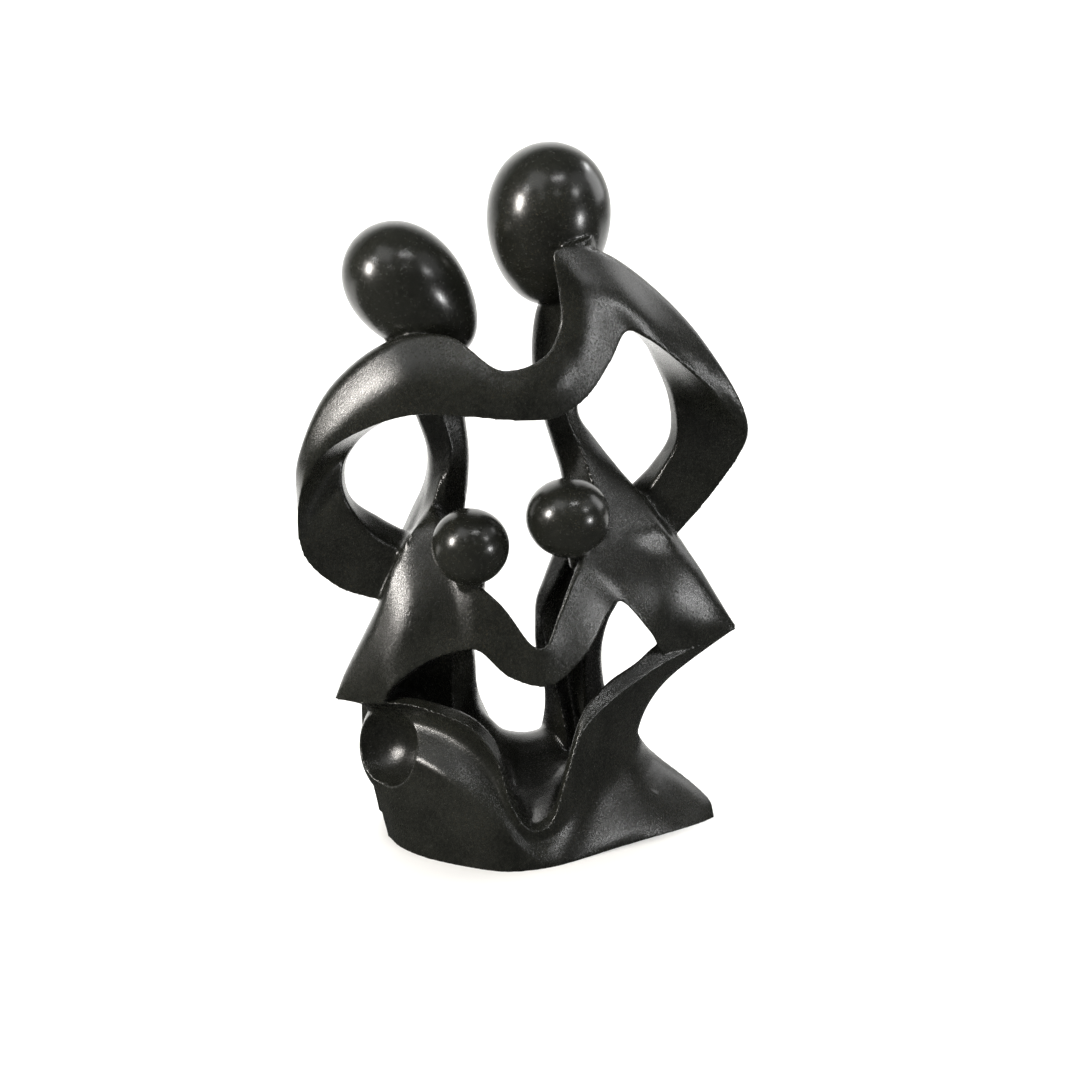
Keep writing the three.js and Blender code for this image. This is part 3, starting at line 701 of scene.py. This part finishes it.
def soapstone():
    """Black-green soapstone, sanded to about 400 grit and waxed. The eye gets a near-black body
    with a faint green cast, sparse olive-brown specks of carbonate, a soft haze where the sanding
    marks catch light, a thin painted highlight in a lighter colour along the crisp edges, partly
    the wear of edges that rub clean, and sharp reflections only on the heads. Talc and wax have an
    IOR of about 1.5."""
    made = bpy.data.materials.new("waxed_soapstone")
    made.use_nodes = True
    tree = made.node_tree
    tree.nodes.clear()
    where = add(tree, "TexCoord")["Object"]
    polish = add(tree, "Attribute", {"attribute_name": "polish"})["Fac"]
    turn = add(tree, "Attribute", {"attribute_name": "turn"})["Fac"]
    edge = add(tree, "MapRange", {"From Min": CRISP_TURN, "From Max": 0.5}, {"Value": turn})[0]
    # The sanding runs along the limbs, mostly upright, so its marks are drawn longer in height.
    upright = add(tree, "Mapping", {"Scale": (1, 1, 0.6)}, {"Vector": where})[0]
    pattern = {}
    for name, (size, detail, roughness) in PATTERNS.items():
        settings = {"Scale": round(1 / (size * MM)), "Detail": detail, "Roughness": roughness}
        place = upright if name == "sanding" else where
        pattern[name] = add(tree, "TexNoise", settings, {"Vector": place})[0]

    # The body's colour, and over it the grain, the specks in their patches and a painted highlight
    # along the crisp edges: a lighter colour that is partly their rubbed wear.
    dark = add(tree, "MapRange", {"From Min": 0.35, "From Max": 0.68},
               {"Value": pattern["clouds"]})[0]
    grain = add(tree, "MapRange", {"From Min": 0.45, "From Max": 0.75, "To Max": 0.6},
                {"Value": pattern["grain"]})[0]
    speck = add(tree, "MapRange", {"From Min": 0.6, "From Max": 0.68},
                {"Value": pattern["specks"]})[0]
    patch = add(tree, "MapRange",
                {"From Min": 0.42, "From Max": 0.6, "To Min": 0.1, "To Max": 0.9},
                {"Value": pattern["patches"]})[0]
    speckled = add(tree, "Math", {"operation": "MULTIPLY"}, {0: speck, 1: patch})[0]
    # Painted highlight: a lighter colour on the crisp edges stands in for the thin light lines that
    # reflections draw there, and is partly the edges' rubbed wear.
    edge_highlight_and_wear = add(tree, "Math", {"operation": "MULTIPLY", 1: 0.35}, {0: edge})[0]
    body = add(tree, "Mix", {
        "data_type": "RGBA", COLOUR_A: linear("#10110e"), COLOUR_B: linear("#1b1c18"),
    }, {0: dark})[COLOUR_MIX]
    # The last colour is the painted edge highlight, partly wear.
    for share, colour in ((grain, "#262722"), (speckled, "#2e2b21"), (edge_highlight_and_wear, "#5a5b55")):
        settings = {"data_type": "RGBA", COLOUR_B: linear(colour)}
        body = add(tree, "Mix", settings, {0: share, COLOUR_A: body})[COLOUR_MIX]

    # Roughness: a satin haze that the sanding breaks up, a gloss on the heads, less on the edges.
    haze = add(tree, "MapRange",
               {"From Min": 0.3, "From Max": 0.7, "To Min": 0.2, "To Max": 0.27},
               {"Value": pattern["clouds"]})[0]
    marks = add(tree, "MapRange",
                {"From Min": 0.35, "From Max": 0.65, "To Min": -0.05, "To Max": 0.08},
                {"Value": pattern["sanding"]})[0]
    satin = add(tree, "Math", {"operation": "ADD"}, {0: haze, 1: marks})[0]
    gloss = add(tree, "MapRange",
                {"From Min": 0.35, "From Max": 0.75, "To Min": 0.2, "To Max": 0.3},
                {"Value": pattern["grain"]})[0]
    finish = add(tree, "Mix", {}, {0: polish, VALUE_A: satin, VALUE_B: gloss})[0]
    wear = add(tree, "Math", {"operation": "MULTIPLY", 1: 0.1}, {0: edge})[0]
    rough = add(tree, "Math", {"operation": "SUBTRACT"}, {0: finish, 1: wear})[0]

    # Bump: the sanding's marks over the grain, and nearly none on the heads.
    scratches = add(tree, "Math", {"operation": "MULTIPLY", 1: 0.7}, {0: pattern["sanding"]})[0]
    pits = add(tree, "Math", {"operation": "MULTIPLY", 1: 0.3}, {0: pattern["grain"]})[0]
    relief = add(tree, "Math", {"operation": "ADD"}, {0: scratches, 1: pits})[0]
    depth = add(tree, "MapRange", {"To Min": 1.0, "To Max": 0.12}, {"Value": polish})[0]
    bump = add(tree, "Bump", {"Distance": RELIEF}, {"Height": relief, "Strength": depth})[0]

    shader = add(tree, "BsdfPrincipled", {"IOR": 1.5, "Metallic": 0.0},
                 {"Base Color": body, "Roughness": rough, "Normal": bump})[0]
    add(tree, "OutputMaterial", {}, {"Surface": shader})
    return made


# The paper, in metres: its front edge, where it starts to bend, the radius of the bend, the height
# of the wall and half its width. The bend is drawn in so many steps.
PAPER_FRONT = -3.0
PAPER_BEND = 0.3
PAPER_LIFT = 1.2
PAPER_TOP = 4.0
PAPER_HALF_WIDTH = 4.0
BEND_STEPS = 12

# Lamps face this height, in metres, and stand this far off it. Most show as one spot on the stone.
LAMP_AIM = 0.25
NEAR = 2.2
FAR = 3.0
WHITE = "#ffffff"
DAYLIGHT = "#fffaf4"

# Name, degrees round from the front to the right, degrees above the horizon, metres away, width and
# height in metres, watts, colour. The glows are large and dim, for the stone's middle tones.
LAMPS = [
    ("window_left", -68, 19, NEAR, (0.22, 0.5), 58, DAYLIGHT),
    ("window_right", 50, -1, NEAR, (0.2, 0.25), 13, WHITE),
    ("ceiling_left", -62, 36, NEAR, (0.3, 0.08), 3, WHITE),
    ("ceiling_middle", 15, 56, NEAR, (0.7, 0.06), 6, WHITE),
    ("ceiling_right", 46, 30, NEAR, (0.3, 0.1), 4, WHITE),
    ("ceiling_behind", 117, 38, NEAR, (0.4, 0.08), 4, WHITE),
    ("ceiling_far_left", -25, 30, FAR, (0.14, 0.08), 1, WHITE),
    ("ceiling_far", 6, 33, FAR, (0.14, 0.08), 1, WHITE),
    ("glow_left", -45, 52, NEAR, (1.2, 1.0), 6, WHITE),
    ("glow_right", 60, 40, NEAR, (1.2, 1.0), 2.4, WHITE),
    ("glow_far_right", 105, 25, NEAR, (1.2, 1.2), 14, WHITE),
]

# Name, place, aim, width and height in metres, watts. These whiten the paper only.
WASHES = [
    ("wall_wash", (0, 0.9, 2.6), (0, 2.2, 0.6), (3.0, 0.8), 70),
    ("floor_wash", (0, 0.5, 2.4), (0, 0.3, 0), (2.4, 1.0), 34),
]

# The photograph's view, in metres, and its lens on a sensor, in millimetres.
VIEW_FROM = (-0.22746, -1.290, 0.55659)
VIEW_AT = (0.00897, 0, 0.20233)
LENS = 69.21
SENSOR = 36


def plain(name, colour, roughness):
    """A dull material of one colour, for what only stands round the sculpture."""
    made = bpy.data.materials.new(name)
    made.use_nodes = True
    shader = made.node_tree.nodes["Principled BSDF"]
    shader.inputs["Base Color"].default_value = linear(colour)
    shader.inputs["Roughness"].default_value = roughness
    return made


def facing(made, place, aim):
    """Stands an object at a place, turned so that its -Z looks at an aim."""
    made.location = place
    made.rotation_euler = (Vector(aim) - Vector(place)).to_track_quat("-Z", "Y").to_euler()
    bpy.context.scene.collection.objects.link(made)
    return made


def studio():
    """A pale floor that curves up into a pale wall. The stone mirrors the wall along its outlines,
    but not the floor before it, so that what faces down stays as dark as in the photograph."""
    paper = plain("pale_paper", "#f6f6f4", 0.85)
    floor = [(PAPER_FRONT, 0.0), (PAPER_BEND, 0.0)]
    bend = [(PAPER_LIFT + PAPER_LIFT * math.sin(a), PAPER_LIFT - PAPER_LIFT * math.cos(a))
            for a in np.linspace(0, math.pi / 2, BEND_STEPS + 1)]
    wall = [(PAPER_BEND, 0.0)] + bend + [(2 * PAPER_LIFT, PAPER_TOP)]
    for name, profile in (("studio_floor", floor), ("studio_wall", wall)):
        points = np.array([(x, y, z) for y, z in profile
                           for x in (-PAPER_HALF_WIDTH, PAPER_HALF_WIDTH)]) / MM
        faces = [(2 * i, 2 * i + 1, 2 * i + 3, 2 * i + 2) for i in range(len(profile) - 1)]
        sheet = block(name, (points, faces))
        sheet.data.shade_smooth()
        sheet.data.materials.append(paper)
        sheet.visible_glossy = name == "studio_wall"


def soft_box(name, place, aim, size, power, colour):
    """A flat lamp, which lights what it faces."""
    light = bpy.data.lights.new(name, "AREA")
    light.shape = "RECTANGLE"
    light.size, light.size_y = size
    light.energy = power
    light.color = linear(colour)[:3]
    return facing(bpy.data.objects.new(name, light), place, aim)


def lights():
    """A window at the left, strip lamps on the ceiling, glows and the washes on the paper."""
    aim = Vector((0, 0, LAMP_AIM))
    for name, round_about, height, away, size, power, colour in LAMPS:
        turn, lift = math.radians(round_about), math.radians(height)
        towards = Vector((math.sin(turn) * math.cos(lift), -math.cos(turn) * math.cos(lift),
                          math.sin(lift)))
        soft_box(name, aim + away * towards, aim, size, power, colour)
    for name, place, target, size, power in WASHES:
        soft_box(name, place, target, size, power, WHITE).visible_glossy = False
    world = bpy.data.worlds.new("studio")
    world.use_nodes = True
    background = world.node_tree.nodes["Background"]
    background.inputs["Color"].default_value = linear("#8c8c8c")
    background.inputs["Strength"].default_value = 0.25
    bpy.context.scene.world = world


def camera():
    """The photograph's view: a little from the left and above, about a metre and a third away."""
    lens = bpy.data.cameras.new("photo_view")
    lens.sensor_width = SENSOR
    lens.lens = LENS
    made = facing(bpy.data.objects.new("photo_view", lens), VIEW_FROM, VIEW_AT)
    bpy.context.scene.camera = made


stone = carve_family()
stone.data.materials.clear()
stone.data.materials.append(soapstone())
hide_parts("carved_family")
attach(stone, "root")
studio()
lights()
camera()
bpy.context.scene.view_settings.view_transform = "Standard"
